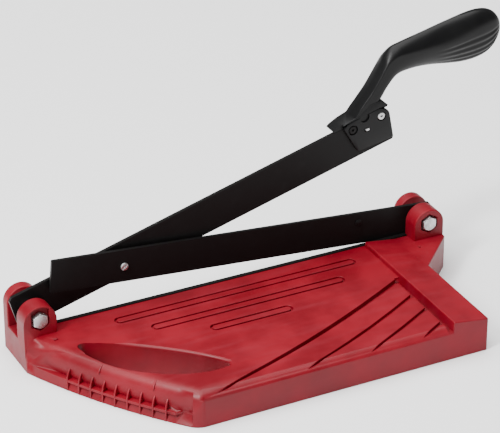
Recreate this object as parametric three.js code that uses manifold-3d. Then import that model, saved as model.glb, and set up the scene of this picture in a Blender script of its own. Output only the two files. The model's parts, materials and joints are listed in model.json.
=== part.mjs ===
// Hand-operated guillotine for 12 inch floor tiles. A flat steel lever on the left pivot pulls
// a second bar, the upper blade, down on the right pivot through one link screw, and the upper
// blade shears the tile against a steel strip on the back edge of the moulded table.
// Millimetres, +X along the cut, +Y to the back, +Z up. The pieces are laid out from the left
// pivot, with Y = 0 on the back face of the table and Z = 0 on the bench.
import * as THREE from 'three';
import { mergeVertices } from 'three/addons/utils/BufferGeometryUtils.js';
import { ConvexGeometry } from 'three/addons/geometries/ConvexGeometry.js';
import Module from 'manifold-3d';

const wasm = await Module();
wasm.setup();

// ---- driving dimensions -------------------------------------------------------------------
const TILE_ROOM = 312;          // between the left lug and the fence: a 305 mm tile and its play
const TABLE_DEPTH = 161.3;      // table front wall to table back face
const TABLE_Z = 32.5;           // table height over the bench
const FRONT_EDGE_Z = 25;        // height of the front wall, where the table rolls down
const FENCE_WIDTH = 35;
const FENCE_RISE = 4.5;         // fence's inner edge over the table
const FENCE_FALL = 5;           // and its drop towards its outer edge
const FENCE_TO_PIVOT = 60.5;    // fence's inner face to the right pivot
const PIVOT_Z = 47.5;
const LUG_RADIUS = 15.5;        // the lugs' half width and the radius of their round tops
const LUG_DROP = 1.6;           // centre of the round tops below the pivots
const FRONT_LUG = 17.4;         // thickness of the front lugs
const LEFT_GAP = 21.4;          // clear width of the left fork, for blade and lever
const RIGHT_GAP = 12.4;         // and of the right fork, for the blade
const BACK_LUG = 10.4;          // thickness of the back lugs
const WALL = 3;                 // moulded walls and ribs
const SKIN = 4.5;               // table skin over the hollow underside
const CELL = 41;                // pitch of the ribs under the table
const BOLT = 8;                 // pivot bolt diameter
const BOLT_HEX = 13;            // across the flats of bolt head and nut
const POCKET_ROOM = 4;          // hexagon pockets wider than the hexagons, across the flats
const POCKET_DEPTH = 4;
const STRIP = 4;                // lower blade thickness
const STRIP_BOTTOM_Z = 7.5;
const STRIP_PROUD = 0.8;        // lower blade's cutting edge over the table
const BLADE = 3.2;              // upper blade thickness
const BLADE_WIDTH = 31.5;
const BLADE_BELOW = 19.4;       // its cutting edge below the right pivot, with the blade level
const BLADE_TAIL = 10;          // upper blade's end right of its pivot
const LEVER = 3.5;              // lever thickness
const LEVER_WIDTH = 34;
const LEVER_RISE = 0.7;         // lever's centre line over its pivot
const LEVER_TAIL = 14.7;        // lever end left of its pivot
const LEVER_LENGTH = 370.3;     // pivot to the lever's handle end
const LEVER_ANGLE = THREE.MathUtils.degToRad(15.6);
const LINK_ALONG = 90.7;        // link screw from the left pivot, along the lever
const LINK_DROP = 1.55;         // and below the pivot, across the lever
const LINK_OFFSET = 3.9;        // link screw below the right pivot, across the upper blade
const LINK_SCREW = 5;
const SLOT_BACK = 3;            // slot's centre line from the screw as drawn, towards the pivot
const SLOT_AHEAD = 8.5;         // and away from it
const SLOT_SET = 1.25;          // slot's centre line below the screw as drawn
const SLOT_PLAY = 1.9;          // slot wider than the screw on each side
const LEVER_GAP = 3.6;          // between upper blade and lever
const STRIP_SCREW = 4;
const HANDLE_SCREW = 4;
const GRIP_BULGE = 6;           // how far the hand grip side bows out
const GRIP_RECESS = 5.5;        // depth of the finger recess behind the grip ribs
const RAIL_Z = 8;
const RAIL = 2.5;               // thickness of the rail that the grip ribs cross
const RAIL_END_Y = -145.5;      // beyond this the rail is cut back to the wall
const RIB_COUNT = 9;
const RIB_FIRST = 18.2;         // first grip rib from the front corner, along the grip side
const RIB_PITCH = 12.35;
const RIB = 1.5;                // thickness of a grip rib
const RIB_PROUD = 0.3;          // how far a rib stands out of the rail
const POCKET_RIM = 1.3;         // left on the lug above the left front pocket
const GROOVE = 2.2;             // width and depth of the outline grooves
const FIT = 0.3;                // clearance between touching pieces, and round shanks
const ROUND = 32;               // sides of round pieces

// ---- places worked out from them ----------------------------------------------------------
const FENCE_X = LUG_RADIUS + TILE_ROOM;
const SPAN = FENCE_X + FENCE_TO_PIVOT;
const LUG_BACK = STRIP + FIT - 0.1;
const LUG_FRONT = LUG_BACK - FRONT_LUG;
const forkBack = (x) => LUG_BACK + (x === 0 ? LEFT_GAP : RIGHT_GAP);
const rear = (x) => forkBack(x) + BACK_LUG;
const BLADE_Y = STRIP + 2 * FIT;
const LEVER_Y = BLADE_Y + BLADE + LEVER_GAP;
const LEVER_BACK = LEVER_Y + LEVER;
const HEX_POCKET = BOLT_HEX + POCKET_ROOM;
const FORK_FLOOR_Z = PIVOT_Z - FIT - Math.max(Math.hypot(LEVER_TAIL, LEVER_WIDTH / 2 - LEVER_RISE),
  Math.hypot(BLADE_TAIL, BLADE_BELOW));
const PINS = [0, SPAN];
const leverPoint = (s, t) => new THREE.Vector2(
  s * Math.cos(LEVER_ANGLE) - t * Math.sin(LEVER_ANGLE),
  PIVOT_Z + s * Math.sin(LEVER_ANGLE) + t * Math.cos(LEVER_ANGLE));
const LINK = leverPoint(LINK_ALONG, -LINK_DROP);
const LINK_REACH = Math.hypot(SPAN - LINK.x, LINK.y - PIVOT_Z);
const BLADE_ANGLE = Math.atan2(LINK.y - PIVOT_Z, SPAN - LINK.x) + Math.asin(LINK_OFFSET / LINK_REACH);
const LINK_FROM_PIVOT = Math.sqrt(LINK_REACH ** 2 - LINK_OFFSET ** 2);
const BLADE_TIP = SPAN - LUG_RADIUS - 2;
const GRIP_START = new THREE.Vector2(-LUG_RADIUS, -15);
const GRIP_END = new THREE.Vector2(72, 9 - TABLE_DEPTH);
const CORNER_END = new THREE.Vector2(88, -TABLE_DEPTH);

// ---- solids -------------------------------------------------------------------------------
const solid = (geometry) => {
  const bare = geometry.clone();
  bare.deleteAttribute('normal');
  bare.deleteAttribute('uv');
  const merged = mergeVertices(bare, 1e-4);
  return new wasm.Manifold(new wasm.Mesh({
    numProp: 3,
    vertProperties: Float32Array.from(merged.attributes.position.array),
    triVerts: Uint32Array.from(merged.index.array),
  }));
};

const geometryOf = (body) => {
  const mesh = body.getMesh();
  const geometry = new THREE.BufferGeometry();
  geometry.setAttribute('position', new THREE.BufferAttribute(Float32Array.from(mesh.vertProperties), 3));
  geometry.setIndex(new THREE.BufferAttribute(Uint32Array.from(mesh.triVerts), 1));
  geometry.computeVertexNormals();
  return geometry;
};

const basis = (x, y, z) => new THREE.Matrix4().makeBasis(
  new THREE.Vector3(...x), new THREE.Vector3(...y), new THREE.Vector3(...z));
const ACROSS_Y = basis([1, 0, 0], [0, 0, 1], [0, -1, 0]);
const ALONG_X = basis([0, 1, 0], [0, 0, 1], [1, 0, 0]);

const block = (x0, x1, y0, y1, z0, z1) => solid(new THREE.BoxGeometry(x1 - x0, y1 - y0, z1 - z0)
  .translate((x0 + x1) / 2, (y0 + y1) / 2, (z0 + z1) / 2));

const hull = (points) => solid(new ConvexGeometry(points.map((p) => new THREE.Vector3(...p))));

const extrude = (shape, depth) => new THREE.ExtrudeGeometry(shape,
  { depth, bevelEnabled: false, curveSegments: 12 });

// a plan shape, from z0 to z1
const plate = (shape, z0, z1) => solid(extrude(shape, z1 - z0).translate(0, 0, z0));

// a shape drawn in X and Z, from y0 to y1
const slab = (shape, y0, y1) => solid(extrude(shape, y1 - y0).applyMatrix4(ACROSS_Y).translate(0, y1, 0));

// a shape drawn in Y and Z, from x0 to x1
const bar = (shape, x0, x1) => solid(extrude(shape, x1 - x0).applyMatrix4(ALONG_X).translate(x0, 0, 0));

const rod = (x, z, radius, y0, y1, sides = ROUND) => solid(
  new THREE.CylinderGeometry(radius, radius, y1 - y0, sides).translate(x, (y0 + y1) / 2, z));

const hex = (x, z, flats, y0, y1) => rod(x, z, flats / Math.sqrt(3), y0, y1, 6);

const tube = (x, z, outer, inner, y0, y1) => rod(x, z, outer, y0, y1)
  .subtract(rod(x, z, inner, y0 - 1, y1 + 1));

const polygon = (points) => new THREE.Shape(points.map(([x, y]) => new THREE.Vector2(x, y)));

const union = (bodies) => bodies.reduce((whole, body) => whole.add(body));

// a closed outline moved inwards by d, corner by corner
const inset = (points, d) => {
  const side = THREE.ShapeUtils.area(points) > 0 ? 1 : -1;
  return points.map((p, i) => {
    const before = p.clone().sub(points.at(i - 1)).normalize();
    const after = points[(i + 1) % points.length].clone().sub(p).normalize();
    const normal = new THREE.Vector2(-before.y - after.y, before.x + after.x);
    return p.clone().addScaledVector(normal, side * d / (1 + before.dot(after)));
  });
};

// ---- table moulding -----------------------------------------------------------------------
// The hand grip side is one flat arc; its centre lies far out on the table's side.
const gripArc = () => {
  const chord = GRIP_END.clone().sub(GRIP_START);
  const half = chord.length() / 2;
  const radius = (half ** 2 + GRIP_BULGE ** 2) / (2 * GRIP_BULGE);
  const inward = new THREE.Vector2(-chord.y, chord.x).normalize();
  const centre = GRIP_START.clone().add(GRIP_END).multiplyScalar(0.5)
    .addScaledVector(inward, radius - GRIP_BULGE);
  const angleOf = (p) => Math.atan2(p.y - centre.y, p.x - centre.x) + 2 * Math.PI;
  return { centre, radius, from: angleOf(GRIP_START), to: angleOf(GRIP_END) };
};
const GRIP = gripArc();

const outlinePoints = () => {
  const path = new THREE.Path();
  path.moveTo(-LUG_RADIUS, rear(0));
  path.lineTo(GRIP_START.x, GRIP_START.y);
  path.absarc(GRIP.centre.x, GRIP.centre.y, GRIP.radius, GRIP.from, GRIP.to, false);
  path.quadraticCurveTo(GRIP_END.x + 7, -TABLE_DEPTH, CORNER_END.x, CORNER_END.y);
  const right = SPAN + LUG_RADIUS;
  const fenceOut = FENCE_X + FENCE_WIDTH;
  path.lineTo(fenceOut, -TABLE_DEPTH);
  path.lineTo(fenceOut, LUG_FRONT - 3 - (right - fenceOut));
  path.lineTo(right, LUG_FRONT - 3);
  path.lineTo(right, rear(SPAN));
  path.lineTo(SPAN - LUG_RADIUS, rear(SPAN));
  path.lineTo(SPAN - LUG_RADIUS, 0);
  path.lineTo(LUG_RADIUS, 0);
  path.lineTo(LUG_RADIUS, rear(0));
  const points = path.getPoints(16);
  return points.filter((p, i) => i === 0 || p.distanceTo(points[i - 1]) > 0.5);
};

// hand hole: a long leaf beside the grip side, round at both tips. Its points are a share of the
// grip's chord and a distance in from it.
const handHolePoints = () => {
  const chord = GRIP_END.clone().sub(GRIP_START);
  const inward = new THREE.Vector2(-chord.y, chord.x).normalize();
  const at = (share, depth) => GRIP_START.clone()
    .addScaledVector(chord, share)
    .addScaledVector(inward, depth);
  const leaf = [at(0.28, 14), at(0.467, -1.6), at(0.79, 2.8),
    at(0.99, 39), at(1.044, 50), at(1.072, 60.1),
    at(1.026, 63.1), at(0.834, 62.3), at(0.492, 45.6),
    at(0.288, 24.1), at(0.26, 21), at(0.254, 16.4), at(0.28, 14)];
  const path = new THREE.CurvePath();
  for (let i = 0; i < 12; i += 3) path.add(new THREE.CubicBezierCurve(...leaf.slice(i, i + 4)));
  const points = path.getPoints(10);
  return points.filter((p, i) => i === 0 || p.distanceTo(points[i - 1]) > 0.1).slice(0, -1);
};

// a ring round the grip's centre from a profile of [depth behind the grip side, height]
const gripRing = (profile) => {
  const loop = [...profile, profile[0]].map(([d, z]) => new THREE.Vector2(GRIP.radius - d, z));
  return solid(new THREE.LatheGeometry(loop, 180).rotateX(Math.PI / 2)
    .translate(GRIP.centre.x, GRIP.centre.y, 0));
};

const shoulderCut = () => gripRing([
  [-9, RAIL_Z + RAIL], [-9, TABLE_Z + 4], [15, TABLE_Z + 4], [15, TABLE_Z], [10.5, TABLE_Z - 0.8],
  [6.5, TABLE_Z - 3.2], [3.6, TABLE_Z - 7.5], [1.8, TABLE_Z - 14], [0, RAIL_Z + RAIL],
]);

// a place on the grip side: how far along it from the front corner, and how deep behind it
const gripPlace = (along, depth) => {
  const angle = GRIP.to - along / GRIP.radius;
  const reach = GRIP.radius - depth;
  return { angle, x: GRIP.centre.x + reach * Math.cos(angle), y: GRIP.centre.y + reach * Math.sin(angle) };
};
const ribAlong = (n) => RIB_FIRST + (n - 1) * RIB_PITCH;

// plan area of a finger recess that runs out at the front corner, between places on the grip side
const recessArea = (farEnd) => polygon([[-9, -9], [GRIP_RECESS + 4, -4], ...farEnd]
  .map(([depth, along]) => gripPlace(along, depth)).map(({ x, y }) => [x, y]));

const recessCuts = () => {
  const top = RAIL_Z + RAIL;
  const upper = gripRing([[-9, top], [-9, 30.5], [8.5, 30.5], [6, 27.6], [4.8, 24.2], [4.2, 20], [4.4, 15],
    [GRIP_RECESS, top]]);
  const lower = gripRing([[-9, -1], [-9, RAIL_Z], [GRIP_RECESS - 1, RAIL_Z], [0, 1], [0, -1]]);
  const railEnd = gripRing([[-9, -1], [-9, top + 1], [GRIP_RECESS, top + 1], [GRIP_RECESS, RAIL_Z],
    [0, 1], [0, -1]])
    .intersect(block(40, 86, -TABLE_DEPTH - 9, RAIL_END_Y, -2, top + 1));
  const last = ribAlong(RIB_COUNT);
  const area = plate(recessArea([[GRIP_RECESS + 4, last + 5], [0, last + 43], [-9, last + 43]]),
    -2, TABLE_Z);
  const low = plate(recessArea([[GRIP_RECESS + 4, last], [-9, last]]), -2, TABLE_Z);
  return upper.intersect(area).add(lower.intersect(low)).add(railEnd.intersect(area));
};

const gripRib = (n) => {
  const { angle, x, y } = gripPlace(ribAlong(n), 0);
  const back = GRIP_RECESS + 1.5;
  const fin = polygon([[-RIB_PROUD, 0], [-RIB_PROUD, RAIL_Z + RAIL], [0.1, 13], [1, 15.5], [2.3, 17.8],
    [4.1, 19.8], [back, 19.8], [back, 0]]);
  return solid(extrude(fin, RIB).applyMatrix4(ACROSS_Y).translate(0, RIB / 2, 0).rotateZ(angle + Math.PI)
    .translate(x, y, 0));
};

// the table rolls down to the front wall
const frontRoll = () => {
  const drop = TABLE_Z - FRONT_EDGE_Z;
  const y = -TABLE_DEPTH;
  const curve = [0, 1, 2, 3, 4, 5].map((i) => i * Math.PI / 10)
    .map((a) => [y + 15 * (1 - Math.cos(a)), FRONT_EDGE_Z + drop * Math.sin(a)]);
  return bar(polygon([[y - 5, FRONT_EDGE_Z - 0.01], ...curve, [y + 15, TABLE_Z + 9], [y - 5, TABLE_Z + 9]]),
    -40, FENCE_X);
};

// fan of steps in front of the tile: distance of each from the front wall along the fence, from
// the fence along the front wall, and how far it bows
const FAN = [[94.3, 245, 8], [66.3, 154, 4], [40.8, 89.5, 1], [14.3, 36.5, 0]];
const fanCurve = ([y, x, bulge]) => {
  const start = new THREE.Vector2(FENCE_X - 3, y - TABLE_DEPTH);
  const end = new THREE.Vector2(FENCE_X - x, -TABLE_DEPTH - 3);
  const middle = start.clone().add(end).multiplyScalar(0.5);
  return new THREE.QuadraticBezierCurve(start, middle.sub(new THREE.Vector2(0, 2 * bulge)), end);
};

const fanGroove = (spec) => {
  const points = fanCurve(spec).getPoints(10);
  const normal = points.at(-1).clone().sub(points[0]).normalize();
  const shift = (p, d) => [p.x - normal.y * d, p.y + normal.x * d];
  const wide = points.map((p, i) => shift(p, 0.8 + 1.4 * (1 - i / 10)));
  const far = points.map((p, i) => shift(p, -0.8 - 1.4 * (1 - i / 10))).reverse();
  return plate(polygon([...wide, ...far]), TABLE_Z - 4.2, TABLE_Z + 1);
};

const stepArea = () => {
  const edge = fanCurve(FAN[0]).getPoints(10).map((p) => [p.x, p.y]);
  return plate(polygon([...edge, [FENCE_X - 3, -TABLE_DEPTH - 3]]), TABLE_Z - 1.2, TABLE_Z + 1);
};

const fenceTrough = () => block(FENCE_X - 5, FENCE_X, -TABLE_DEPTH - 1, FAN[0][0] + 3 - TABLE_DEPTH,
  TABLE_Z - 6, TABLE_Z + 1);

const racetrack = (x0, x1, y, r) => {
  const path = new THREE.Shape();
  path.absarc(x1 - r, y, r, -Math.PI / 2, Math.PI / 2, false);
  path.absarc(x0 + r, y, r, Math.PI / 2, 3 * Math.PI / 2, false);
  return path;
};

// three outline grooves, each shorter than the one behind it: distances from left lug and fence
const outlineGrooves = () => union([[51.5, 20.5], [76, 45], [121.5, 110]].map(([left, right], n) => {
  const y = -19.8 - 24 * n;
  const [x0, x1] = [LUG_RADIUS + left, FENCE_X - right];
  const shape = racetrack(x0, x1, y, 5.4);
  shape.holes.push(racetrack(x0 + GROOVE, x1 - GROOVE, y, 5.4 - GROOVE));
  return plate(shape, TABLE_Z - GROOVE, TABLE_Z + 1);
}));

const fence = () => {
  const ends = [-TABLE_DEPTH, 0];
  const x1 = FENCE_X + FENCE_WIDTH;
  const top = TABLE_Z + FENCE_RISE;
  return hull(ends.flatMap((y) => [[FENCE_X, y, 1], [x1, y, 1], [FENCE_X, y, top],
    [x1, y, top - FENCE_FALL]]));
};

const lugShape = (x) => {
  const shape = new THREE.Shape();
  shape.moveTo(x - LUG_RADIUS, 1);
  shape.lineTo(x + LUG_RADIUS, 1);
  shape.lineTo(x + LUG_RADIUS, PIVOT_Z - LUG_DROP);
  shape.absarc(x, PIVOT_Z - LUG_DROP, LUG_RADIUS, 0, Math.PI, false);
  return shape;
};

const lugs = (x) => slab(lugShape(x), LUG_FRONT, LUG_BACK)
  .add(slab(lugShape(x), forkBack(x), rear(x)));

// on the left lug the front pocket reaches up to a thin rim
const frontPocket = (x) => {
  const y0 = LUG_FRONT - 1;
  const y1 = LUG_FRONT + POCKET_DEPTH;
  const pocket = hex(x, PIVOT_Z, HEX_POCKET, y0, y1);
  const upward = block(-HEX_POCKET / 2, HEX_POCKET / 2, y0, y1, PIVOT_Z, PIVOT_Z + LUG_RADIUS)
    .intersect(rod(0, PIVOT_Z - LUG_DROP, LUG_RADIUS - POCKET_RIM, y0, y1));
  return x === 0 ? pocket.add(upward) : pocket;
};

const forkCuts = (x) => {
  const reach = LUG_RADIUS + 1;
  const fork = block(x - reach, x + reach, LUG_BACK, forkBack(x), FORK_FLOOR_Z, PIVOT_Z + reach);
  const bore = rod(x, PIVOT_Z, BOLT / 2 + FIT, LUG_FRONT - 1, rear(x) + 1);
  const front = frontPocket(x);
  const back = hex(x, PIVOT_Z, HEX_POCKET, rear(x) - POCKET_DEPTH, rear(x) + 1);
  return union([fork, bore, front, back]);
};

const STRIP_SCREWS = [0.1, 0.37, 0.63, 0.9].map((share) => LUG_RADIUS + share * (SPAN - 2 * LUG_RADIUS));
const STRIP_SCREW_Z = 15;

const underside = () => {
  const table = outlinePoints();
  const inner = plate(new THREE.Shape(inset(table, WALL)), -1, TABLE_Z - SKIN);
  const ribs = [];
  const right = SPAN + LUG_RADIUS;
  for (let x = 46; x < right; x += CELL) ribs.push(block(x, x + WALL, -TABLE_DEPTH, rear(0), -2, TABLE_Z));
  for (let y = -CELL; y > -TABLE_DEPTH; y -= CELL) ribs.push(block(-30, right, y, y + WALL, -2, TABLE_Z));
  const slope = hull([-40, right + 5].flatMap((x) => [[x, -20, TABLE_Z - SKIN], [x, -20, TABLE_Z + 5],
    [x, -TABLE_DEPTH - 5, TABLE_Z + 5], [x, -TABLE_DEPTH - 5, FRONT_EDGE_Z - 2 * SKIN]]));
  const grip = gripRing([[-9, -3], [19, -3], [19, TABLE_Z], [-9, TABLE_Z]].reverse());
  const hole = plate(new THREE.Shape(inset(handHolePoints(), -WALL)), -2, TABLE_Z);
  const ends = PINS.map((x) => block(x - LUG_RADIUS - WALL, x + LUG_RADIUS + WALL,
    LUG_FRONT - WALL, rear(0), -2, TABLE_Z));
  const bosses = STRIP_SCREWS.map((x) => block(x - 6, x + 6, -15, 0, -2, TABLE_Z));
  return [...ribs, slope, grip, hole, ...ends, ...bosses]
    .reduce((cavity, body) => cavity.subtract(body), inner);
};

const baseBody = () => {
  const table = plate(new THREE.Shape(outlinePoints()), 0, TABLE_Z);
  const shaped = [shoulderCut(), recessCuts(), frontRoll(), stepArea()]
    .reduce((body, cut) => body.subtract(cut), table);
  const ribs = Array.from({ length: RIB_COUNT }, (_, n) => gripRib(n + 1));
  const whole = union([shaped, ...ribs, fence(), ...PINS.map(lugs)]);
  const vents = [9.2, SPAN - LUG_RADIUS].map((x) => block(x - 2, x + 2, LUG_FRONT - 13, LUG_FRONT - 9,
    TABLE_Z - 3, TABLE_Z + 1));
  const screwHoles = STRIP_SCREWS.map((x) => rod(x, STRIP_SCREW_Z, STRIP_SCREW / 2 + FIT, -12, 1, 16));
  const handHole = plate(new THREE.Shape(handHolePoints()), -1, TABLE_Z + 1);
  return [...FAN.map(fanGroove), fenceTrough(), outlineGrooves(), handHole, underside(),
    ...PINS.map(forkCuts), ...vents, ...screwHoles].reduce((body, cut) => body.subtract(cut), whole);
};

// ---- blades and lever ---------------------------------------------------------------------
const lowerBlade = () => {
  const strip = block(LUG_RADIUS + FIT, SPAN - LUG_RADIUS - FIT, FIT, FIT + STRIP, STRIP_BOTTOM_Z,
    TABLE_Z + STRIP_PROUD);
  return STRIP_SCREWS
    .map((x) => rod(x, STRIP_SCREW_Z, STRIP_SCREW / 2 + FIT, 0, 9, 16))
    .reduce((body, hole) => body.subtract(hole), strip);
};

const stripScrew = (x) => rod(x, STRIP_SCREW_Z, STRIP_SCREW / 2, -9, STRIP + 3 * FIT, 16)
  .add(rod(x, STRIP_SCREW_Z, STRIP_SCREW, STRIP + 2 * FIT, STRIP + 2 * FIT + 2.4, 24));

// bar with the corners of its left and right ends taken off, in its own frame from its pivot
const barShape = (x0, x1, z0, z1, left, right) => polygon([[x0, z0 + left], [x0 + left, z0],
  [x1 - right, z0], [x1, z0 + right], [x1, z1 - right], [x1 - right, z1],
  [x0 + left, z1], [x0, z1 - left]]);

const upperBlade = () => {
  const top = BLADE_WIDTH - BLADE_BELOW;
  const y1 = BLADE_Y + BLADE;
  const plain = slab(barShape(-BLADE_TIP, BLADE_TAIL, -BLADE_BELOW, top, 0.8, 1.5), BLADE_Y, y1);
  const relief = hull([-BLADE_TIP - 1, BLADE_TAIL + 1].flatMap((x) => [[x, y1 + 1, -BLADE_BELOW - 1],
    [x, BLADE_Y + 1.2, -BLADE_BELOW - 1], [x, y1 + 1, -BLADE_BELOW + 4]]));
  const holes = [rod(0, 0, BOLT / 2 + FIT, 0, 30),
    rod(-LINK_FROM_PIVOT, -LINK_OFFSET, LINK_SCREW / 2 + FIT, 0, 30, 24),
    rod(-RIVET_ALONG, RIVET_UP, RIVET / 2 + FIT, 0, 30, 16)];
  return [relief, ...holes].reduce((body, cut) => body.subtract(cut), plain);
};

// stop rivet through the upper blade, near its pivot
const RIVET_ALONG = 65.7;
const RIVET_UP = 2.9;
const RIVET = 4;
const bladeRivet = () => rod(-RIVET_ALONG, RIVET_UP, RIVET / 2, BLADE_Y - FIT, BLADE_Y + BLADE + FIT, 16)
  .add(rod(-RIVET_ALONG, RIVET_UP, RIVET * 0.75, BLADE_Y - FIT - 0.8, BLADE_Y - FIT, 16))
  .add(rod(-RIVET_ALONG, RIVET_UP, RIVET * 0.75, BLADE_Y + BLADE + FIT, BLADE_Y + BLADE + FIT + 0.8, 16));

const leverArm = () => {
  const z0 = LEVER_RISE - LEVER_WIDTH / 2;
  const plain = slab(barShape(-LEVER_TAIL, LEVER_LENGTH, z0, z0 + LEVER_WIDTH, 3, 1), LEVER_Y, LEVER_BACK);
  const half = LINK_SCREW / 2 + SLOT_PLAY;
  const slot = slab(racetrack(LINK_ALONG - SLOT_BACK - half, LINK_ALONG + SLOT_AHEAD + half,
    -LINK_DROP - SLOT_SET, half), 0, 30);
  const screws = HANDLE_SCREWS.map(([s, t]) => rod(s, t, HANDLE_SCREW / 2 + FIT, 0, 30, 16));
  return [slot, rod(0, 0, BOLT / 2 + FIT, 0, 30), ...screws]
    .reduce((body, cut) => body.subtract(cut), plain);
};

// ---- link screw, in the upper blade's frame -------------------------------------------------
const linkScrew = () => {
  const x = -LINK_FROM_PIVOT;
  const z = -LINK_OFFSET;
  const shank = rod(x, z, LINK_SCREW / 2, BLADE_Y - FIT, LEVER_BACK + 7.5, 24);
  const head = rod(x, z, 3.7, BLADE_Y - FIT - 1.6, BLADE_Y - FIT + 0.01, 32);
  return shank.add(head).subtract(block(x - 5, x + 5, BLADE_Y - 4, BLADE_Y - FIT - 0.8, z - 0.5, z + 0.5));
};
const linkSpacer = () => tube(-LINK_FROM_PIVOT, -LINK_OFFSET, 8, LINK_SCREW / 2 + FIT,
  BLADE_Y + BLADE + FIT, LEVER_Y - FIT);
const linkWasher = () => tube(-LINK_FROM_PIVOT, -LINK_OFFSET, 9, LINK_SCREW / 2 + FIT,
  LEVER_BACK + FIT, LEVER_BACK + FIT + 1.2);
const linkNut = () => hex(-LINK_FROM_PIVOT, -LINK_OFFSET, 8, LEVER_BACK + 2 * FIT + 1.2, LEVER_BACK + 6.5)
  .subtract(rod(-LINK_FROM_PIVOT, -LINK_OFFSET, LINK_SCREW / 2 + FIT, 0, 40, 24));

// ---- pivot bolts ----------------------------------------------------------------------------
const HEAD = 5.3;
const NUT = 6.5;
const WASHER = 1.6;
const POCKET_FLOOR = LUG_FRONT + POCKET_DEPTH;
const backFloor = (x) => rear(x) - POCKET_DEPTH;
const pivotBolt = (x) => {
  const y0 = POCKET_FLOOR - FIT;
  const shank = rod(x, PIVOT_Z, BOLT / 2, y0 - 1, backFloor(x) + WASHER + NUT + 3);
  return shank.add(hex(x, PIVOT_Z, BOLT_HEX, y0 - HEAD, y0));
};
const pivotWasher = (x) => tube(x, PIVOT_Z, HEX_POCKET / 2 - 2 * FIT, BOLT / 2 + FIT,
  backFloor(x) + FIT, backFloor(x) + WASHER);
const pivotNut = (x) => hex(x, PIVOT_Z, BOLT_HEX, backFloor(x) + WASHER + FIT,
  backFloor(x) + WASHER + FIT + NUT)
  .subtract(rod(x, PIVOT_Z, BOLT / 2 + FIT, 0, 60));
const spacer = (x, y0, y1) => tube(x, PIVOT_Z, BOLT / 2 + 3, BOLT / 2 + FIT, y0 + FIT, y1 - FIT);

// ---- handle, in the lever's frame -----------------------------------------------------------
const END = LEVER_LENGTH;
const TOP = LEVER_RISE + LEVER_WIDTH / 2;
const FOOT_FRONT = LEVER_Y - LEVER_GAP + FIT;
const FOOT_DEPTH = 18;
const HANDLE_MID = FOOT_FRONT + FOOT_DEPTH / 2;
const CHEEK = LEVER_GAP - 2 * FIT;
const SCREW_HEAD = 1.6;         // sunk in the cheek, clear of the upper blade
const CHEEK_TOP = TOP + 4.3;
const HANDLE_SCREWS = [[END - 37, 13.6], [END - 6.8, 13.2]];

const cheekShape = () => polygon([[END - 34, -14], [END - 2, -14], [END + 0.5, 0],
  [END + 1.7, 13], [END, TOP], [END - 27, CHEEK_TOP], [END - 38, CHEEK_TOP - 0.4],
  [END - 44, TOP], [END - 45, 14], [END - 38.5, -11]]);

const frontCheek = () => {
  const plain = slab(cheekShape(), FOOT_FRONT, FOOT_FRONT + CHEEK);
  return HANDLE_SCREWS.reduce((body, [s, t]) => body
    .subtract(rod(s, t, HANDLE_SCREW / 2 + FIT, 0, 40, 16))
    .subtract(rod(s, t, HANDLE_SCREW + FIT, 0, FOOT_FRONT + SCREW_HEAD + 2 * FIT, 24)), plain);
};

// neck and palm grip outline, from the foot up, round the palm and back along the underside
const gripOutline = () => {
  const shape = new THREE.Shape();
  shape.moveTo(END - 32, TOP + 6);
  shape.lineTo(END + 6, 56);
  shape.bezierCurveTo(END + 16, 68, END + 26, 70, END + 50, 69.5);
  shape.lineTo(END + 94, 67);
  shape.bezierCurveTo(END + 120, 66, END + 131, 58, END + 130.5, 43);
  shape.bezierCurveTo(END + 128, 26, END + 114, 17, END + 98, 18.5);
  shape.bezierCurveTo(END + 74, 22, END + 54, 41, END + 30, 40);
  shape.bezierCurveTo(END + 14, 39, END + 6, 28, END - 1, TOP + 6);
  return shape;
};

const handleBody = () => {
  const palm = new THREE.ExtrudeGeometry(gripOutline(), { depth: 8, bevelEnabled: true, bevelThickness: 5,
    bevelSize: 4, bevelOffset: -4, bevelSegments: 3, curveSegments: 10 });
  const upper = solid(palm.applyMatrix4(ACROSS_Y).translate(0, HANDLE_MID + 4, 0));
  const footShape = polygon([[END - 50, TOP + FIT], [END + 2, TOP + FIT], [END + 4, TOP + 5],
    [END - 2, TOP + 9], [END - 30, TOP + 13], [END - 44, TOP + 11], [END - 52, TOP + 6]]);
  const foot = slab(footShape, FOOT_FRONT, FOOT_FRONT + FOOT_DEPTH);
  const rear = slab(cheekShape(), LEVER_BACK + FIT, LEVER_BACK + FIT + 4);
  const seat = block(END - 60, END + 10, FOOT_FRONT - 1, FOOT_FRONT + CHEEK + FIT, -20, CHEEK_TOP + FIT);
  const barSeat = block(END - 60, END + 10, 0, LEVER_BACK + FIT, -20, TOP + FIT);
  const holes = HANDLE_SCREWS.map(([s, t]) => rod(s, t, HANDLE_SCREW / 2 + FIT, 0, 50, 16));
  return [seat, barSeat, ...holes].reduce((body, cut) => body.subtract(cut), union([upper, foot, rear]));
};

const handleScrew = ([s, t]) => rod(s, t, HANDLE_SCREW / 2, FOOT_FRONT + FIT + 1, LEVER_BACK + 9, 16)
  .add(rod(s, t, HANDLE_SCREW, FOOT_FRONT + FIT, FOOT_FRONT + FIT + SCREW_HEAD, 24));
const handleNut = ([s, t]) => hex(s, t, HANDLE_SCREW + 3, LEVER_BACK + 2 * FIT + 4, LEVER_BACK + 7.4)
  .subtract(rod(s, t, HANDLE_SCREW / 2 + FIT, 0, 60, 16));

// ---- assembly -------------------------------------------------------------------------------
const RED = { color: 0xb0303a, roughness: 0.42, metalness: 0 };
const BLACK = { color: 0x1c1b1b, roughness: 0.4, metalness: 0.3 };
const HANDLE = { color: 0x262626, roughness: 0.5, metalness: 0 };
const STEEL = { color: 0xb9bcc0, roughness: 0.3, metalness: 1 };

const piece = (name, body, finish) => {
  const mesh = new THREE.Mesh(geometryOf(body), new THREE.MeshStandardMaterial(finish));
  mesh.name = name;
  return mesh;
};

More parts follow.
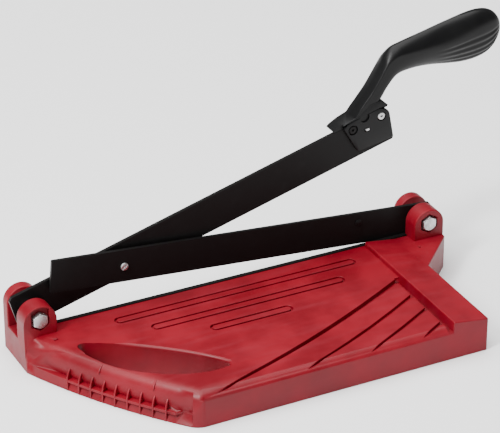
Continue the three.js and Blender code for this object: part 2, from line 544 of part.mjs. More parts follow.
const still = new THREE.Group();
still.add(piece('base_body', baseBody(), RED), piece('lower_blade', lowerBlade(), BLACK));
STRIP_SCREWS.forEach((x, n) => still.add(piece(`lower_blade_screw_${n + 1}`, stripScrew(x), STEEL)));
[['left', 0], ['right', SPAN]].forEach(([side, x]) => still.add(
  piece(`${side}_pivot_bolt`, pivotBolt(x), STEEL),
  piece(`${side}_pivot_washer`, pivotWasher(x), STEEL),
  piece(`${side}_pivot_nut`, pivotNut(x), STEEL)));
still.add(piece('left_front_spacer', spacer(0, LUG_BACK, LEVER_Y), STEEL));
still.add(piece('left_back_spacer', spacer(0, LEVER_BACK, forkBack(0)), STEEL));
still.add(piece('right_back_spacer', spacer(SPAN, BLADE_Y + BLADE, forkBack(SPAN)), STEEL));

const bladeGroup = new THREE.Group();
bladeGroup.position.set(SPAN, 0, PIVOT_Z);
bladeGroup.rotation.y = BLADE_ANGLE;
bladeGroup.add(piece('upper_blade', upperBlade(), BLACK), piece('blade_rivet', bladeRivet(), BLACK),
  piece('link_screw', linkScrew(), STEEL), piece('link_spacer', linkSpacer(), STEEL),
  piece('link_washer', linkWasher(), STEEL), piece('link_nut', linkNut(), STEEL));

const leverGroup = new THREE.Group();
leverGroup.position.set(0, 0, PIVOT_Z);
leverGroup.rotation.y = -LEVER_ANGLE;
leverGroup.add(piece('lever_arm', leverArm(), BLACK), piece('handle_body', handleBody(), HANDLE),
  piece('handle_front_cheek', frontCheek(), HANDLE));
['inner', 'outer'].forEach((side, n) => leverGroup.add(
  piece(`handle_screw_${side}`, handleScrew(HANDLE_SCREWS[n]), n ? STEEL : BLACK),
  piece(`handle_nut_${side}`, handleNut(HANDLE_SCREWS[n]), STEEL)));

const cutter = new THREE.Group();
cutter.add(still, bladeGroup, leverGroup);
cutter.updateMatrixWorld(true);
const box = new THREE.Box3().setFromObject(cutter, true);
const middle = box.getCenter(new THREE.Vector3());
cutter.position.set(-middle.x, -middle.y, -box.min.z);

export default cutter;
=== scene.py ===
"""Tile cutter: a moulded table, a shear blade, a hand lever and their fasteners."""

import json
import math

import bmesh
import bpy
from bpy.props import FloatProperty, FloatVectorProperty, PointerProperty
from mathutils import Matrix, Vector

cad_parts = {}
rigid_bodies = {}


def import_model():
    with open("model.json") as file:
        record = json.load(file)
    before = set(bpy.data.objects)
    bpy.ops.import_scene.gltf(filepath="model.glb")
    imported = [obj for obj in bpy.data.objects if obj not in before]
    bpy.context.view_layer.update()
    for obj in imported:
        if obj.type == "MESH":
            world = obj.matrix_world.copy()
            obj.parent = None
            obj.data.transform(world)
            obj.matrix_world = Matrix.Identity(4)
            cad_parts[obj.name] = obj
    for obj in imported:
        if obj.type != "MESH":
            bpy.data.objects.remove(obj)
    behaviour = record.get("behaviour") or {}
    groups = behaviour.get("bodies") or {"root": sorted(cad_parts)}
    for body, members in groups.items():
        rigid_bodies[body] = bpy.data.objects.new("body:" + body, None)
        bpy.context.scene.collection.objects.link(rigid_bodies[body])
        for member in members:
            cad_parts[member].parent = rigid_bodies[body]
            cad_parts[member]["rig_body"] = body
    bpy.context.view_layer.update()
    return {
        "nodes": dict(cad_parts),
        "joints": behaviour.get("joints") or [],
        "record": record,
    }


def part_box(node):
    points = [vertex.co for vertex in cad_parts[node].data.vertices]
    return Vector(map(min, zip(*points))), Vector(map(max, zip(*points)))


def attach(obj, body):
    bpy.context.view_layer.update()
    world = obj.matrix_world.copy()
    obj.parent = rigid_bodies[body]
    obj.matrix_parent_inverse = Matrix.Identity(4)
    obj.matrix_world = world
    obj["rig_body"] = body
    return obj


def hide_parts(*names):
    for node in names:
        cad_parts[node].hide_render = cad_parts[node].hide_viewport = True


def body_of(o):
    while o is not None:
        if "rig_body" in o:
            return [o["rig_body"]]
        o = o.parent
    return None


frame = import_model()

bl_info = {
    "name": "Tile Cutter",
    "version": (1, 0, 0),
    "blender": (4, 5, 0),
    "location": "3D View > Sidebar > Tile Cutter",
    "description": "Builds a bench guillotine for floor tiles round its packed frame",
    "category": "Object",
}

MM = 0.001
JOINTS = {joint["name"]: joint for joint in frame["joints"]}
FIT = 0.3 * MM                                     # clearance between pieces that seat on each other
MERGE = 0.01 * MM                                  # corners closer than this are one
BACK_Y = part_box("lower_blade")[0].y - FIT          # table's back face
LEFT_PIN = Vector(JOINTS["lever_pivot"]["pos_m"])
RIGHT_PIN = Vector(JOINTS["blade_pivot"]["pos_m"])


def mm(*values):
    """Table coordinates in millimetres (X from the left pin, Y from the table's back face) as a place."""
    x, y, z = values
    return Vector((LEFT_PIN.x + x * MM, BACK_Y + y * MM, z * MM))


def lever_frame():
    """From the lever's own frame (along it, away from the operator, across it) to its place at rest."""
    turn = Matrix.Rotation(-bpy.context.scene.cutter_sizes.lever_angle, 4, "Y")
    return Matrix.Translation((LEFT_PIN.x, BACK_Y, LEFT_PIN.z)) @ turn


HANDLE_SCREWS = ((333.3, 13.6), (363.5, 13.2))     # along and across the lever, in millimetres
SCREW_BORE = 2.3                                   # radius of their holes


# ---- finishes -------------------------------------------------------------------------------

class Wire:
    """A socket of a finish that can be used in sums."""

    def __init__(self, finish, socket):
        self.finish = finish
        self.socket = socket

    def _sum(self, kind, first, second):
        return self.finish.add("ShaderNodeMath", {"operation": kind}, {0: first, 1: second})

    def __add__(self, other):
        return self._sum("ADD", self, other)

    def __radd__(self, other):
        return self._sum("ADD", other, self)

    def __sub__(self, other):
        return self._sum("SUBTRACT", self, other)

    def __rsub__(self, other):
        return self._sum("SUBTRACT", other, self)

    def __mul__(self, other):
        return self._sum("MULTIPLY", self, other)

    def __rmul__(self, other):
        return self._sum("MULTIPLY", other, self)

    def between(self, low, high):
        """0 below low, 1 above high, and smooth between them."""
        return self.finish.add("ShaderNodeMapRange", {"interpolation_type": "SMOOTHSTEP"},
                               {"Value": self, "From Min": low, "From Max": high})


class Finish:
    """A material built node by node."""

    def __init__(self, name):
        self.material = bpy.data.materials.new(name)
        self.material.use_nodes = True
        self.tree = self.material.node_tree
        self.tree.nodes.clear()
        self.surface = self.tree.nodes.new("ShaderNodeBsdfPrincipled")
        output = self.tree.nodes.new("ShaderNodeOutputMaterial")
        self.tree.links.new(self.surface.outputs["BSDF"], output.inputs["Surface"])
        self.place = self.add("ShaderNodeTexCoord", out="Object")

    def add(self, kind, settings=None, sockets=None, out=0):
        node = self.tree.nodes.new(kind)
        for key, value in (settings or {}).items():
            if key == "stops":
                ramp = node.color_ramp
                while len(ramp.elements) < len(value):
                    ramp.elements.new(0.5)
                for element, (position, colour) in zip(ramp.elements, value):
                    element.position = position
                    element.color = colour
            else:
                setattr(node, key, value)
        self.fill(node, sockets or {})
        return Wire(self, node.outputs[out])

    def fill(self, node, sockets):
        for key, value in sockets.items():
            if isinstance(value, Wire):
                self.tree.links.new(value.socket, node.inputs[key])
            else:
                node.inputs[key].default_value = value

    def noise(self, scale, detail=3.0, roughness=0.5, place=None, distortion=0.0):
        return self.add("ShaderNodeTexNoise", {"noise_dimensions": "3D"},
                        {"Vector": place or self.place, "Scale": scale, "Detail": detail,
                         "Roughness": roughness, "Distortion": distortion})

    def stretched(self, turn, scale):
        return self.add("ShaderNodeMapping", {"vector_type": "POINT"},
                        {"Vector": self.place, "Rotation": turn, "Scale": scale})

    def mix(self, factor, low, high):
        return self.add("ShaderNodeMix", {"data_type": "RGBA"},
                        {"Factor": factor, "A": low, "B": high}, out="Result")

    def bump(self, height, strength, distance, under=None):
        sockets = {"Height": height, "Strength": strength, "Distance": distance}
        if under:
            sockets["Normal"] = under
        return self.add("ShaderNodeBump", {}, sockets, out="Normal")

    def set(self, **sockets):
        names = {key.replace("_", " "): value for key, value in sockets.items()}
        self.fill(self.surface, names)
        return self.material


def colour(rgb):
    return (*rgb, 1.0)


def red_plastic(paint):
    """Satin moulded plastic: slightly cloudy red with flow marks and a fine spark grain."""
    f = Finish("satin_red_plastic")
    cloud = f.noise(22.0, 3.0, 0.55).between(0.3, 0.72)
    flow = f.noise(1.0, 4.0, 0.6, f.stretched((0, 0, math.radians(-14)), (14.0, 95.0, 60.0)))
    flow = flow.between(0.42, 0.8)
    specks = f.noise(420.0, 2.0, 0.5).between(0.62, 0.75)
    base = f.mix(cloud, colour(paint.red_deep), colour(paint.red))
    base = f.mix(flow * 0.30, base, colour(paint.red_haze))
    base = f.mix(specks * 0.12, base, colour(paint.red_deep))
    rough = 0.37 + 0.10 * cloud + 0.08 * flow
    ripple = f.bump(f.noise(38.0, 2.0, 0.4), 0.18, 0.6 * MM)
    grain = f.bump(f.noise(2600.0, 2.0, 0.6), 0.10, 0.08 * MM, ripple)
    return f.set(Base_Color=base, Roughness=rough, Normal=grain, Specular_IOR_Level=0.24)


def black_paint(paint):
    """Satin black paint on flat steel, with faint rubbed patches."""
    f = Finish("satin_black_paint")
    wear = f.noise(60.0, 5.0, 0.65).between(0.5, 0.85)
    drag = f.noise(1.0, 3.0, 0.5, f.stretched((0, math.radians(10), 0), (18.0, 260.0, 260.0)))
    base = f.mix(wear * 0.5, colour(paint.black), colour(paint.black_worn))
    rough = 0.34 + 0.10 * wear + 0.06 * drag
    ripple = f.bump(f.noise(70.0, 2.0, 0.5), 0.15, 0.3 * MM)
    orange = f.bump(f.noise(1400.0, 2.0, 0.5), 0.12, 0.08 * MM, ripple)
    return f.set(Base_Color=base, Roughness=rough, Normal=orange, Specular_IOR_Level=0.11)


def black_grip(paint):
    """Black moulded handle plastic with a fine matt grain."""
    f = Finish("matt_black_plastic")
    cloud = f.noise(30.0, 3.0, 0.5).between(0.3, 0.7)
    rub = f.noise(120.0, 4.0, 0.6).between(0.55, 0.8)
    base = f.mix(cloud, colour(paint.grip), colour(paint.grip_light))
    rough = 0.30 + 0.07 * cloud - 0.05 * rub
    grain = f.bump(f.noise(1900.0, 3.0, 0.6), 0.22, 0.10 * MM)
    return f.set(Base_Color=base, Roughness=rough, Normal=grain, Specular_IOR_Level=0.16)


def zinc(paint):
    """Bright zinc plate on steel."""
    f = Finish("bright_zinc_plate")
    blotch = f.noise(260.0, 4.0, 0.6).between(0.3, 0.75)
    base = f.mix(blotch, colour(paint.zinc), colour(paint.zinc_dull))
    rough = 0.24 + 0.16 * blotch
    grain = f.bump(f.noise(1500.0, 2.0, 0.5), 0.15, 0.05 * MM)
    return f.set(Base_Color=base, Roughness=rough, Normal=grain, Metallic=0.92)


def floor_white(paint):
    """Plain pale studio floor."""
    f = Finish("pale_floor")
    cloud = f.noise(3.0, 2.0, 0.5)
    return f.set(Base_Color=f.mix(cloud, colour(paint.floor), colour(paint.floor_shade)),
                 Roughness=0.95, Specular_IOR_Level=0.0)


FINISHES = {"red_plastic": red_plastic, "black_steel": black_paint,
            "black_plastic": black_grip, "zinc_steel": zinc}
made = {}


def finish(slot):
    if slot not in made:
        made[slot] = FINISHES[slot](bpy.context.scene.cutter_colours)
    return made[slot]


# ---- modelling helpers ----------------------------------------------------------------------

def clear_selection():
    if bpy.context.object and bpy.context.object.mode != "OBJECT":
        bpy.ops.object.mode_set(mode="OBJECT")
    bpy.ops.object.select_all(action="DESELECT")


def activate(obj):
    clear_selection()
    obj.select_set(True)
    bpy.context.view_layer.objects.active = obj


def edit(obj, mode="EDGE"):
    activate(obj)
    bpy.ops.object.mode_set(mode="EDIT")
    bpy.ops.mesh.select_mode(type=mode)


def done():
    bpy.ops.object.mode_set(mode="OBJECT")


def pick(obj, kind, test):
    """In edit mode: selects the faces or edges whose bmesh element passes the test."""
    bpy.ops.mesh.select_all(action="DESELECT")
    mesh = bmesh.from_edit_mesh(obj.data)
    chosen = [element for element in getattr(mesh, kind) if test(element)]
    if not chosen:
        raise RuntimeError(f"no {kind} of {obj.name} were found")
    for element in chosen:
        element.select_set(True)
    mesh.select_flush_mode()
    bmesh.update_edit_mesh(obj.data)


def middle(edge):
    return (edge.verts[0].co + edge.verts[1].co) / 2


def bend(edge):
    """Angle between an edge's two faces in degrees: above 0 outside corners, below 0 inside ones."""
    return math.degrees(edge.calc_face_angle_signed(0.0))


def apply(obj, kind, **settings):
    """Adds a modifier, sets it and applies it."""
    activate(obj)
    modifier = obj.modifiers.new(kind.title(), kind)
    for key, value in settings.items():
        setattr(modifier, key, value)
    bpy.ops.object.modifier_apply(modifier=modifier.name)


def smooth(obj, degrees=35.0):
    activate(obj)
    bpy.ops.object.shade_smooth_by_angle(angle=math.radians(degrees))


def renormal(obj):
    edit(obj)
    bpy.ops.mesh.select_all(action="SELECT")
    bpy.ops.mesh.remove_doubles(threshold=MERGE)
    bpy.ops.mesh.normals_make_consistent(inside=False)
    done()


def place(obj, matrix):
    """Puts a piece drawn in its own frame in its place, and keeps the object at the origin."""
    activate(obj)
    obj.matrix_world = matrix @ obj.matrix_world
    bpy.ops.object.transform_apply(location=True, rotation=True, scale=True)


def copy_of(node, name):
    """A copy of a CAD node's mesh with its triangles joined into flat faces."""
    obj = bpy.data.objects.new(name, frame["nodes"][node].data.copy())
    bpy.context.scene.collection.objects.link(obj)
    edit(obj)
    bpy.ops.mesh.select_all(action="SELECT")
    bpy.ops.mesh.remove_doubles(threshold=MERGE)
    bpy.ops.mesh.dissolve_limited(angle_limit=math.radians(1.0))
    done()
    return obj


def shape_prism(name, outline, front, back):
    """A flat piece in its bar's frame: corners along and across it in millimetres, faces at two depths."""
    clear_selection()
    bpy.ops.mesh.primitive_circle_add(vertices=len(outline), radius=0.01, fill_type="NGON",
                                      rotation=(math.radians(90), 0, 0))
    obj = bpy.context.object
    obj.name = obj.data.name = name
    bpy.ops.object.transform_apply(location=True, rotation=True, scale=True)
    for vertex, (along, across) in zip(obj.data.vertices, outline):
        vertex.co = (along * MM, front * MM, across * MM)
    edit(obj, "FACE")
    bpy.ops.mesh.select_all(action="SELECT")
    bpy.ops.mesh.extrude_region_move(TRANSFORM_OT_translate={"value": (0, (back - front) * MM, 0)})
    done()
    renormal(obj)
    return obj


def round_bar(name, place_at, radius, front, back, sides=48):
    """A round piece across the bars, in millimetres in its bar's frame."""
    clear_selection()
    bpy.ops.mesh.primitive_cylinder_add(
        vertices=sides, radius=radius * MM, depth=(back - front) * MM,
        location=(place_at[0] * MM, (front + back) / 2 * MM, place_at[1] * MM),
        rotation=(math.radians(90), 0, 0))
    obj = bpy.context.object
    obj.name = obj.data.name = name
    bpy.ops.object.transform_apply(location=True, rotation=True, scale=True)
    return obj


def carve(obj, cutter, how="DIFFERENCE"):
    """Cuts one piece with another, or joins them, and removes the second."""
    apply(obj, "BOOLEAN", object=cutter, operation=how, solver="EXACT")
    bpy.data.objects.remove(cutter, do_unlink=True)
    if not obj.data.polygons:
        raise RuntimeError(f"{obj.name} was cut away entirely")


def soften(obj, width, segments=3, degrees=35.0):
    """Rounds every edge sharper than an angle."""
    apply(obj, "BEVEL", width=width, segments=segments, limit_method="ANGLE",
          angle_limit=math.radians(degrees))


def between(rows, share):
    """A row between the rows of a table, on a smooth curve through them."""
    step = share * (len(rows) - 1)
    n = min(int(step), len(rows) - 2)
    t = step - n
    r0, r1, r2, r3 = (rows[max(0, min(len(rows) - 1, n + k))] for k in (-1, 0, 1, 2))
    return [0.5 * (2 * b + (c - a) * t + (2 * a - 5 * b + 4 * c - d) * t * t
                   + (3 * b - a - 3 * c + d) * t ** 3) for a, b, c, d in zip(r0, r1, r2, r3)]


def finish_piece(obj, body, slot, *nodes, degrees=35.0, flats=False):
    """Gives a new piece its shading, material, body and slot; flats keeps its big faces flat."""
    smooth(obj, degrees)
    if flats:
        apply(obj, "WEIGHTED_NORMAL", keep_sharp=True, weight=80)
    obj.data.materials.clear()
    obj.data.materials.append(finish(slot))
    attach(obj, body)
    if nodes:
        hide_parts(*nodes)
    return obj


# ---- sizes and colours ----------------------------------------------------------------------

def size(name, description, default):
    return FloatProperty(name=name, description=description, default=default * MM, unit="LENGTH",
                         subtype="DISTANCE", precision=5)


def tint(name, description, rgb):
    return FloatVectorProperty(name=name, description=description, default=rgb, size=3,
                               subtype="COLOR", min=0.0, max=1.0)


class CutterSizes(bpy.types.PropertyGroup):
    """Sizes of roundings and small details."""
    edge: size("Bar edge", "Rounding of the steel bars' edges", 0.35)
    rim: size("Hand hole rim", "Rounding of the hand hole's upper rim", 2.6)
    moulding: size("Moulding edge", "Rounding of the moulding's outer edges", 1.1)
    crease: size("Fan edge", "Rounding of the stepped pads' edges", 0.45)
    groove: size("Groove edge", "Rounding of grooves, pockets and ribs", 0.3)
    lever_angle: FloatProperty(name="Lever angle", description="Lever's angle above the table at rest",
                               default=math.radians(15.6), unit="ROTATION", subtype="ANGLE")


class CutterColours(bpy.types.PropertyGroup):
    """Colours of the finishes."""
    red: tint("Red", "Main colour of the moulding", (0.19, 0.0020, 0.0095))
    red_deep: tint("Deep red", "Darker clouds in the moulding", (0.125, 0.0013, 0.006))
    red_haze: tint("Red haze", "Pale flow marks in the moulding", (0.19, 0.013, 0.024))
    black: tint("Black", "Paint of the steel bars", (0.0055, 0.005, 0.005))
    black_worn: tint("Worn black", "Rubbed paint", (0.012, 0.011, 0.011))
    grip: tint("Grip", "Handle plastic", (0.0038, 0.0038, 0.0040))
    grip_light: tint("Light grip", "Paler clouds in the handle plastic", (0.0056, 0.0056, 0.0058))
    zinc: tint("Zinc", "Bright zinc plate", (0.55, 0.55, 0.55))
    zinc_dull: tint("Dull zinc", "Blotches in the zinc plate", (0.36, 0.36, 0.36))
    floor: tint("Floor", "Pale floor", (0.86, 0.86, 0.86))
    floor_shade: tint("Floor shade", "Slight variation of the floor", (0.84, 0.84, 0.84))


# ---- operators ------------------------------------------------------------------------------

class CUTTER_OT_stage(bpy.types.Operator):
    """Adds the floor, the soft studio light and the camera"""
    bl_idname = "cutter.stage"
    bl_label = "Stage"

    def execute(self, context):
        clear_selection()
        bpy.ops.mesh.primitive_plane_add(size=12.0, location=(0, 0, -0.0004))
        floor = context.object
        floor.name = floor.data.name = "studio_floor"
        floor.data.materials.append(floor_white(context.scene.cutter_colours))
        bpy.ops.object.transform_apply(location=True, rotation=False, scale=False)

        world = bpy.data.worlds.new("studio")
        world.use_nodes = True
        world.node_tree.nodes["Background"].inputs["Color"].default_value = (1.0, 1.0, 1.0, 1.0)
        world.node_tree.nodes["Background"].inputs["Strength"].default_value = 0.27
        context.scene.world = world

        lights = (
            ("overhead", (-0.5, 0.3, 4.0), (0.0, 0.0, 0.0), 4.6, 4.6, 430.0),
            ("left", (-2.0, -0.6, 2.0), (0.0, 0.0, 0.05), 0.5, 0.9, 90.0),
            ("ridge", (-1.7, -1.45, 0.9), (0.1, 0.08, 0.15), 0.3, 0.3, 9.0),
        )
        for name, stand, aim, wide, deep, power in lights:
            bpy.ops.object.light_add(type="AREA", location=stand)
            lamp = context.object
            lamp.name = lamp.data.name = name
            lamp.data.shape = "RECTANGLE"
            lamp.data.size = wide
            lamp.data.size_y = deep
            lamp.data.energy = power
            lamp.rotation_euler = (Vector(aim) - Vector(stand)).to_track_quat("-Z", "Y").to_euler()

        bpy.ops.object.camera_add(location=(-0.90554, -1.70950, 1.17755),
                                  rotation=(math.radians(61.267), 0.0, math.radians(-26.67)))
        camera = context.object
        camera.data.sensor_width = 36.0
        camera.data.lens = 182.2
        context.scene.camera = camera
        return {"FINISHED"}


def spot(edge):
    """Middle of an edge in table coordinates, in millimetres."""
    return (middle(edge) - mm(0, 0, 0)) / MM


SPAN = (RIGHT_PIN.x - LEFT_PIN.x) / MM
LUG = 15.5                                         # radius of the lugs' round tops
LUG_TURN = LEFT_PIN.z / MM - 1.6                   # height of its centre
POSTS = ((362.5, -161.3), (SPAN + LUG, -16.2), (-LUG, -15.0))   # upright corners, seen from above
FENCE_X = 327.4                                    # fence's tile side
FENCE_LOW = 24.9                                   # its lowest rounded edge
TABLE_TOP = 32.3
LUG_FACE = -13.2                                   # front of the round tops
GRIP_CENTRE = Vector((491.4, 211.5))               # centre of the bowed grip side
GRIP_END = Vector((72.0, -152.3))                  # its end at the front corner
GRIP_RADIUS = 555.2
MARK = ((3.2, 25.2), (4.9, 28.0), (6.6, 29.9), (10.3, 31.95), (10.3, 30.6), (7.0, 28.0),
        (4.4, 25.2))           # moulding mark across the shoulder: depth behind the grip side, height


def on_hand_hole(p):
    return p.z > 31.8 and 20 < p.x < 129 and -132 < p.y < -56


def beyond(p):
    """On the table's side of the hand hole's long axis."""
    return (p.x - 24) * 75 + (p.y + 58) * 102 > 0


def on_back_rim(p):
    return on_hand_hole(p) and beyond(p)


def on_front_rim(p):
    return on_hand_hole(p) and not beyond(p)


def by_a_lug(p):
    return p.y > -13.4 and p.z > 18 and min(abs(p.x), abs(p.x - SPAN)) < LUG + 0.2


def on_thin_rim(p):
    """Front edge of the left lug's round top, over its pocket."""
    return abs(p.y - LUG_FACE) < 0.1 and p.z > LUG_TURN and abs(p.x) < LUG + 0.2


def on_outside(p):
    """Outer edges of the lugs, the fence and the corner posts."""
    if by_a_lug(p):
        side, up = min(abs(p.x), abs(p.x - SPAN)), p.z - LUG_TURN
        return abs(math.hypot(side, max(up, 0.0)) - LUG) < 0.3 and not on_thin_rim(p)
    vent = 369 < p.x < 376 and -27 < p.y < -21
    post = any(math.hypot(p.x - x, p.y - y) < 0.3 for x, y in POSTS)
    return post or (p.x > FENCE_X and p.z > FENCE_LOW and not vent)


def on_groove(p):
    return p.z > TABLE_TOP and -74 < p.y < -13.5 and 48 < p.x < 310


def on_fan(p):
    return p.z > 28.5 and 106 < p.x < FENCE_X and p.y < -62 and not on_groove(p)


def on_grip_side(p):
    """Ribs and rail of the finger recess along the bowed grip side."""
    share = ((p.x + 15.5) * 0.5375 - (p.y + 15.0) * 0.8433) / 162.8
    depth = (p.x + 15.5) * 0.8433 + (p.y + 15.0) * 0.5375 + 24 * share * (1 - share)
    return 0.5 < p.z < 31 and depth < 6.0 and 0.05 < share < 1.06 and p.x < 110


def on_pocket(p):
    return by_a_lug(p) and not on_outside(p)


class CUTTER_OT_moulding(bpy.types.Operator):
    """Models the red table moulding with its rounded edges"""
    bl_idname = "cutter.moulding"
    bl_label = "Table moulding"

    def execute(self, context):
        sizes = context.scene.cutter_sizes
        obj = copy_of("base_body", "table_moulding")
        for where, width, segments, least in ((on_back_rim, sizes.rim, 5, 60),
                                              (on_front_rim, sizes.groove, 2, 60),
                                              (on_outside, sizes.moulding, 3, 25),
                                              (on_fan, sizes.crease, 2, 40),
                                              (on_groove, sizes.groove, 2, 60),
                                              (on_pocket, sizes.groove, 2, 40),
                                              (on_grip_side, sizes.groove, 2, 50)):
            edit(obj)
            pick(obj, "edges", lambda e: e.is_manifold and bend(e) > least and where(spot(e)))
            bpy.ops.mesh.bevel(offset=width, segments=segments, clamp_overlap=False)
            done()
        finish_piece(obj, "base", "red_plastic", "base_body", flats=True)
        for n, along in enumerate((86.1, 32.0), 1):
            angle = math.atan2(*reversed(GRIP_END - GRIP_CENTRE)) - along / GRIP_RADIUS
            at = GRIP_CENTRE + GRIP_RADIUS * Vector((math.cos(angle), math.sin(angle)))
            mark = shape_prism(f"shoulder_mark_{n}", MARK, -0.8, 0.8)
            soften(mark, 0.3 * MM, 2)
            place(mark, Matrix.Translation(mm(at.x, at.y, 0)) @ Matrix.Rotation(angle + math.pi, 4, "Z"))
            finish_piece(mark, "base", "red_plastic")
        return {"FINISHED"}


class CUTTER_OT_bars(bpy.types.Operator):
    """Models the painted steel blades and the lever bar"""
    bl_idname = "cutter.bars"
    bl_label = "Blades and lever bar"

    def execute(self, context):
        sizes = context.scene.cutter_sizes
        for node, name, body in (("lower_blade", "lower_blade_strip", "base"),
                                 ("upper_blade", "upper_blade_bar", "blade"),
                                 ("lever_arm", "lever_bar", "lever")):
            obj = copy_of(node, name)
            soften(obj, sizes.edge, 2)
            finish_piece(obj, body, "black_steel", node, flats=True)
        return {"FINISHED"}


# Sections of the grip: bottom and top point in the lever's frame, share of the height at which the
# section is widest, half width, and how boxy its upper and lower halves are
GRIP = (
    (343.0, 10.5, 332.5, 20.8, 0.93, 8.9, 1.5, 7.0),
    (350.5, 17.0, 341.2, 27.4, 0.93, 8.9, 1.5, 7.0),
    (359.5, 23.4, 350.6, 34.4, 0.92, 8.9, 1.5, 7.0),
    (367.6, 29.3, 360.0, 41.3, 0.91, 8.9, 1.5, 6.5),
    (376.5, 36.8, 369.0, 49.6, 0.89, 8.9, 1.5, 5.5),
    (385.6, 42.3, 377.2, 58.0, 0.86, 8.9, 1.5, 4.4),
    (392.2, 43.4, 383.8, 65.2, 0.80, 9.0, 1.5, 3.4),
    (399.5, 42.2, 392.6, 70.2, 0.73, 9.2, 1.5, 2.7),
    (406.5, 40.4, 402.0, 70.7, 0.67, 9.5, 1.5, 2.2),
    (414.0, 38.2, 412.3, 70.4, 0.63, 9.9, 1.52, 1.9),
    (427.0, 33.3, 427.0, 69.9, 0.60, 10.4, 1.52, 1.6),
    (442.6, 26.4, 442.6, 69.4, 0.59, 11.0, 1.55, 1.45),
    (456.5, 21.0, 456.5, 68.6, 0.63, 11.3, 1.58, 1.45),
    (469.5, 18.2, 469.0, 67.6, 0.67, 11.3, 1.65, 1.55),
    (480.8, 18.2, 479.5, 65.9, 0.69, 10.8, 1.75, 1.70),
    (489.4, 21.6, 488.0, 63.2, 0.68, 9.6, 1.90, 1.85),
    (495.6, 27.4, 494.3, 59.4, 0.67, 8.1, 2.0, 2.0),
    (499.6, 33.6, 498.8, 54.4, 0.62, 5.9, 2.0, 2.0),
    (501.4, 40.0, 501.2, 48.6, 0.55, 3.0, 2.0, 2.0),
)
GRIP_MIDDLE = 17.1              # depth of the grip's middle plane, in millimetres
RING_TOP = 11                   # points on each side of a section above its crest
RING_BOTTOM = 36                # and below it
FOOT = ((316.0, 18.1), (372.6, 18.1), (373.0, 20.3), (367.6, 29.0), (356.0, 30.5), (343.5, 24.6),
        (328.0, 22.9), (319.0, 20.6), (316.0, 19.2))
CHEEK = ((332.3, -9.7), (369.7, -13.0), (372.0, 13.4), (370.4, 17.6), (363.8, 21.9), (343.5, 22.0),
         (330.8, 21.9), (325.0, 18.2))


def section_point(row, share):
    """A place on half a grip section, as (along, width, across), from its top at 0 to its bottom at 1."""
    b_along, b_across, t_along, t_across, widest, half, boxy_top, boxy_low = row
    bottom, top = Vector((b_along, b_across)), Vector((t_along, t_across))
    centre = bottom.lerp(top, widest)
    if share <= 0.5:
        angle = math.radians(90) * (1 - 2 * share)
        height = (top - centre) * math.sin(angle) ** (2 / boxy_top)
        wide = half * math.cos(angle) ** (2 / boxy_top)
    else:
        low = 2 * share - 1
        angle = math.radians(90) * low
        height = (bottom - centre) * math.sin(angle) ** (2 / boxy_low)
        wide = half * max(math.cos(angle), 0.0) ** (2 / boxy_low)
        tail = max(0.0, min(1.0, (b_along - 432) / 22)) * max(0.0, min(1.0, (500.5 - b_along) / 8))
        window = max(0.0, min(1.0, (low - 0.12) / 0.12)) * max(0.0, min(1.0, (0.86 - low) / 0.12))
        wide -= 0.42 * tail * window * (1 - math.cos(2 * math.pi * low * 6.5)) * min(1.0, half / 9)
    spot = centre + height
    return Vector((spot.x, wide, spot.y))


def half_section(row):
    """Evenly spaced places down one side of a grip section, with one on its crest."""
    points = []
    for start, count in ((0.0, RING_TOP), (0.5, RING_BOTTOM)):
        fine = [section_point(row, start + 0.5 * k / 200) for k in range(201)]
        reach = [0.0]
        for first, second in zip(fine, fine[1:]):
            reach.append(reach[-1] + (second - first).length)
        k = 0
        for n in range(count):
            target = reach[-1] * n / count
            while reach[k + 1] < target:
                k += 1
            part = (target - reach[k]) / max(reach[k + 1] - reach[k], 1e-9)
            points.append(fine[k].lerp(fine[k + 1], part))
    return points + [fine[-1]]


def grip_surface(name):
    """The neck and palm of the handle, drawn section by section on a grid."""
    rows = 4 * (len(GRIP) - 1) + 1
    around = 2 * (RING_TOP + RING_BOTTOM)
    clear_selection()
    bpy.ops.mesh.primitive_grid_add(x_subdivisions=around, y_subdivisions=rows - 1, size=0.1)
    obj = bpy.context.object
    obj.name = obj.data.name = name
    for n in range(rows):
        side = half_section(between(GRIP, n / (rows - 1)))
        ring = [(p.x, GRIP_MIDDLE - p.y, p.z) for p in side]
        ring += [(p.x, GRIP_MIDDLE + p.y, p.z) for p in reversed(side[:-1])]
        for k, spot in enumerate(ring):
            obj.data.vertices[n * (around + 1) + k].co = Vector(spot) * MM
    edit(obj)
    bpy.ops.mesh.select_all(action="SELECT")
    bpy.ops.mesh.remove_doubles(threshold=MERGE)
    bpy.ops.mesh.fill_holes(sides=0)
    done()
    renormal(obj)
    edit(obj)
    pick(obj, "edges", lambda e: bend(e) > 30 and 346 * MM < middle(e).x < 408 * MM)
    bpy.ops.mesh.bevel(offset=0.5 * MM, segments=3, clamp_overlap=True)
    done()
    return obj


